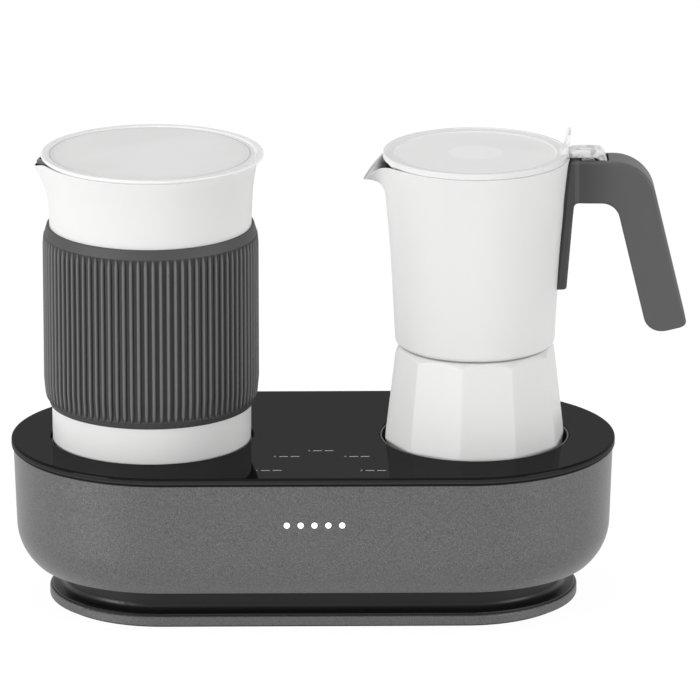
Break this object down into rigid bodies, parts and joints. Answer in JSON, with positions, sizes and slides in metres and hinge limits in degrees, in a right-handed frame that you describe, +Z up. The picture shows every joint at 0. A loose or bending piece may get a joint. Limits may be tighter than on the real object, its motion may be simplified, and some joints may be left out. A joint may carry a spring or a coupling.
{
  "type": "electric moka pot",
  "caption": "Electric moka pot on an oval powered base with a glass deck, a faceted boiler, a pouring chamber with a hinged lid, and a magnetic milk frother jug in a ribbed sleeve",
  "frame": {"origin": "middle of the underside of the non-slip mat, on the worktop", "axes": "X to the right as seen from the front, Y from the front to the back, Z up"},
  "size_m": [0.3454, 0.155, 0.2479],
  "materials": {
    "foot_rubber": "matte, fine grain",
    "plate_paint": "satin grey paint",
    "plinth_gloss": "gloss black",
    "screw_steel": "plated steel",
    "body_paint": "metallic grey with fine speckle",
    "frame_black": "black, matte",
    "deck_glass": "black glass, polished",
    "well_dark": "dark heat-proof plastic",
    "plate_cast": "cast, matte",
    "element_steel": "drawn tube",
    "shield_steel": "sheet steel",
    "thermostat_body": "unglazed",
    "sensor_steel": "polished steel",
    "film_heater": "amber film",
    "rotor_plastic": "natural nylon",
    "magnet_steel": "nickel plated",
    "motor_steel": "drawn can",
    "board_green": "solder mask",
    "light_white": "milky clear",
    "inlet_black": "black, matte",
    "pin_brass": "bare",
    "jug_white": "satin white",
    "liner_dark": "dark non-stick",
    "whisk_plastic": "black, satin",
    "sleeve_silicone": "dark grey, matte",
    "lid_frosted": "frosted, translucent",
    "seal_silicone": "pale, soft",
    "pot_white": "satin white",
    "valve_brass": "turned",
    "funnel_aluminium": "bare",
    "cap_plastic": "pale grey",
    "handle_grey": "dark grey, satin",
    "lid_clear": "clear with a frosted floor"
  },
  "bodies": {
    "base": {"foot_mat": "foot_rubber", "base_plate": "plate_paint", "plinth": "plinth_gloss", "base_screws": "screw_steel", "body_shell": "body_paint", "deck_frame": "frame_black", "deck_screws": "screw_steel", "top_glass": "deck_glass", "pot_well": "well_dark", "pot_hot_plate": "plate_cast", "heating_element": "element_steel", "heat_shield": "shield_steel", "plate_screws": "screw_steel", "thermostat": "thermostat_body", "sensor_guide": "element_steel", "sensor_spring": "sensor_steel", "jug_seat": "well_dark", "jug_heater": "film_heater", "drive_motor": "motor_steel", "motor_bracket": "shield_steel", "motor_screws": "screw_steel", "control_board": "board_green", "board_screws": "screw_steel", "touch_board": "board_green", "light_pipe": "light_white", "light_board": "board_green", "mains_inlet": "inlet_black", "inlet_pins": "pin_brass"},
    "sensor": {"pot_sensor": "sensor_steel"},
    "drive": {"drive_rotor": "rotor_plastic", "drive_magnets": "magnet_steel", "motor_shaft": "sensor_steel"},
    "jug": {"milk_jug": "jug_white", "jug_liner": "liner_dark", "whisk_pin": "sensor_steel", "jug_sleeve": "sleeve_silicone"},
    "whisk": {"whisk_hub": "whisk_plastic", "hub_magnets": "magnet_steel", "whisk_ring": "whisk_plastic"},
    "jug_cover": {"jug_lid": "lid_frosted", "lid_seal": "seal_silicone"},
    "pot_base": {"boiler": "pot_white", "safety_valve": "valve_brass", "funnel": "funnel_aluminium"},
    "relief": {"valve_pin": "pin_brass"},
    "gasket": {"pot_gasket": "seal_silicone"},
    "filter": {"filter_plate": "funnel_aluminium"},
    "chamber": {"upper_chamber": "pot_white", "coffee_column": "pot_white", "column_cap": "cap_plastic", "handle": "handle_grey", "handle_screw": "screw_steel", "handle_pin": "sensor_steel", "hinge_pin": "sensor_steel"},
    "pot_cover": {"pot_lid": "lid_clear"}
  },
  "joints": [
    {"name": "sensor_press", "type": "slide", "parent": "base", "child": "sensor", "axis": [0, 0, 1], "range_m": [-0.0015, 0], "stiffness_N_per_m": 200, "springref_m": 0.001, "deforming": ["sensor_spring"]},
    {"name": "drive_spin", "type": "hinge", "parent": "base", "child": "drive", "pos_m": [-0.0828, 0, 0.076], "axis": [0, 0, 1], "continuous": true},
    {"name": "jug_lift", "type": "slide", "parent": "base", "child": "jug", "axis": [0, 0, 1], "range_m": [0, 0.12]},
    {"name": "whisk_spin", "type": "hinge", "parent": "jug", "child": "whisk", "pos_m": [-0.0828, 0, 0.092], "axis": [0, 0, 1], "continuous": true},
    {"name": "jug_lid_lift", "type": "slide", "parent": "jug", "child": "jug_cover", "axis": [0, 0, 1], "range_m": [0, 0.05]},
    {"name": "pot_lift", "type": "slide", "parent": "base", "child": "pot_base", "axis": [0, 0, 1], "range_m": [0, 0.12]},
    {"name": "valve_press", "type": "slide", "parent": "pot_base", "child": "relief", "axis": [-0.134, 0.991, 0], "range_m": [-0.001, 0], "stiffness_N_per_m": 300, "springref_m": 0.001},
    {"name": "chamber_lift", "type": "slide", "parent": "pot_base", "child": "gasket", "axis": [0, 0, 1], "range_m": [0, 0.08]},
    {"name": "chamber_rise", "type": "slide", "parent": "gasket", "child": "filter", "axis": [0, 0, 1], "range_m": [0, 0.0046]},
    {"name": "chamber_turn", "type": "hinge", "parent": "filter", "child": "chamber", "pos_m": [0.0828, 0, 0.15], "axis": [0, 0, 1], "range_deg": [0, 540]},
    {"name": "pot_lid_hinge", "type": "hinge", "parent": "chamber", "child": "pot_cover", "pos_m": [0.14, 0, 0.2295], "axis": [0, 1, 0], "range_deg": [0, 100]}
  ],
  "couplings": [
    {"joint": "chamber_rise", "follows": "chamber_turn", "m_per_rad": 0.00047746},
    {"joint": "whisk_spin", "follows": "drive_spin", "ratio": 1}
  ]
}
